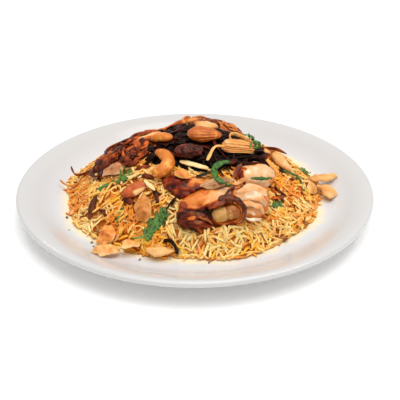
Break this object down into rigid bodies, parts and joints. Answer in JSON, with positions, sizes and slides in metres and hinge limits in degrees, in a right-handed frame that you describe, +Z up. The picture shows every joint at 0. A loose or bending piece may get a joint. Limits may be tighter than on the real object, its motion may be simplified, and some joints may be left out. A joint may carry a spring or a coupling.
{
  "type": "plate of chicken biryani",
  "caption": "Mound of long-grain rice with chicken, fried onion, nuts and coriander on a round white dinner plate.",
  "frame": {"origin": "on the plate's axis, at the level of the foot ring that it stands on", "axes": "+Z up, +X to the right and -Y towards the front of the dish, where the chicken bone shows"},
  "size_m": [0.28, 0.28, 0.0706],
  "materials": {
    "porcelain": "glazed white porcelain",
    "rice": "cooked long-grain rice, part saffron yellow, moist",
    "chicken_skin": "roast chicken skin, oily",
    "chicken_meat": "cooked white chicken, moist",
    "bone": "cooked bone end with cartilage",
    "dark_onion": "onion fried nearly black, oily",
    "red_onion": "onion fried reddish brown, oily",
    "gold_onion": "golden translucent cooked onion",
    "cashew": "roast cashew, oily",
    "pale_nut": "blanched nut",
    "almond_skin": "roast almond with its skin",
    "coriander": "fresh coriander leaf"
  },
  "bodies": {
    "root": {"almond_back": "almond_skin", "almond_front": "pale_nut", "almond_gold": "almond_skin", "almond_left": "almond_skin", "almond_right": "pale_nut", "almond_top_brown": "almond_skin", "almond_top_pale": "pale_nut", "cashew_back": "cashew", "cashew_large": "cashew", "cashew_right_high": "pale_nut", "cashew_right_low": "pale_nut", "cashew_small": "cashew", "chicken_bone": "bone", "chicken_breast": "chicken_meat", "chicken_leg": "chicken_skin", "chicken_thigh": "chicken_skin", "coriander_back": "coriander", "coriander_curl": "coriander", "coriander_front": "coriander", "coriander_left": "coriander", "coriander_left_high": "coriander", "coriander_low_right": "coriander", "coriander_mid": "coriander", "coriander_right": "coriander", "coriander_shoulder": "coriander", "coriander_sprig": "coriander", "coriander_stem": "coriander", "coriander_top": "coriander", "flake_left": "chicken_meat", "flake_mid": "chicken_meat", "nut_small": "pale_nut", "onion_bent": "gold_onion", "onion_black_front": "dark_onion", "onion_curl": "red_onion", "onion_dark_left": "red_onion", "onion_dark_mid": "dark_onion", "onion_gold_right": "gold_onion", "onion_loop": "gold_onion", "onion_purple": "dark_onion", "onion_slice": "gold_onion", "onion_tip": "gold_onion", "onions_back": "red_onion", "onions_dark": "dark_onion", "onions_red": "red_onion", "petal_centre": "gold_onion", "petal_front_edge": "gold_onion", "petal_front_left": "gold_onion", "petal_front_low": "gold_onion", "petal_right": "gold_onion", "plate": "porcelain", "raisin": "dark_onion", "rice": "rice", "sliver_back": "pale_nut", "sliver_brown": "almond_skin", "sliver_left": "pale_nut", "sliver_shoulder": "pale_nut", "sliver_white": "pale_nut", "strip_brown": "red_onion", "strip_red": "almond_skin"}
  },
  "joints": []
}
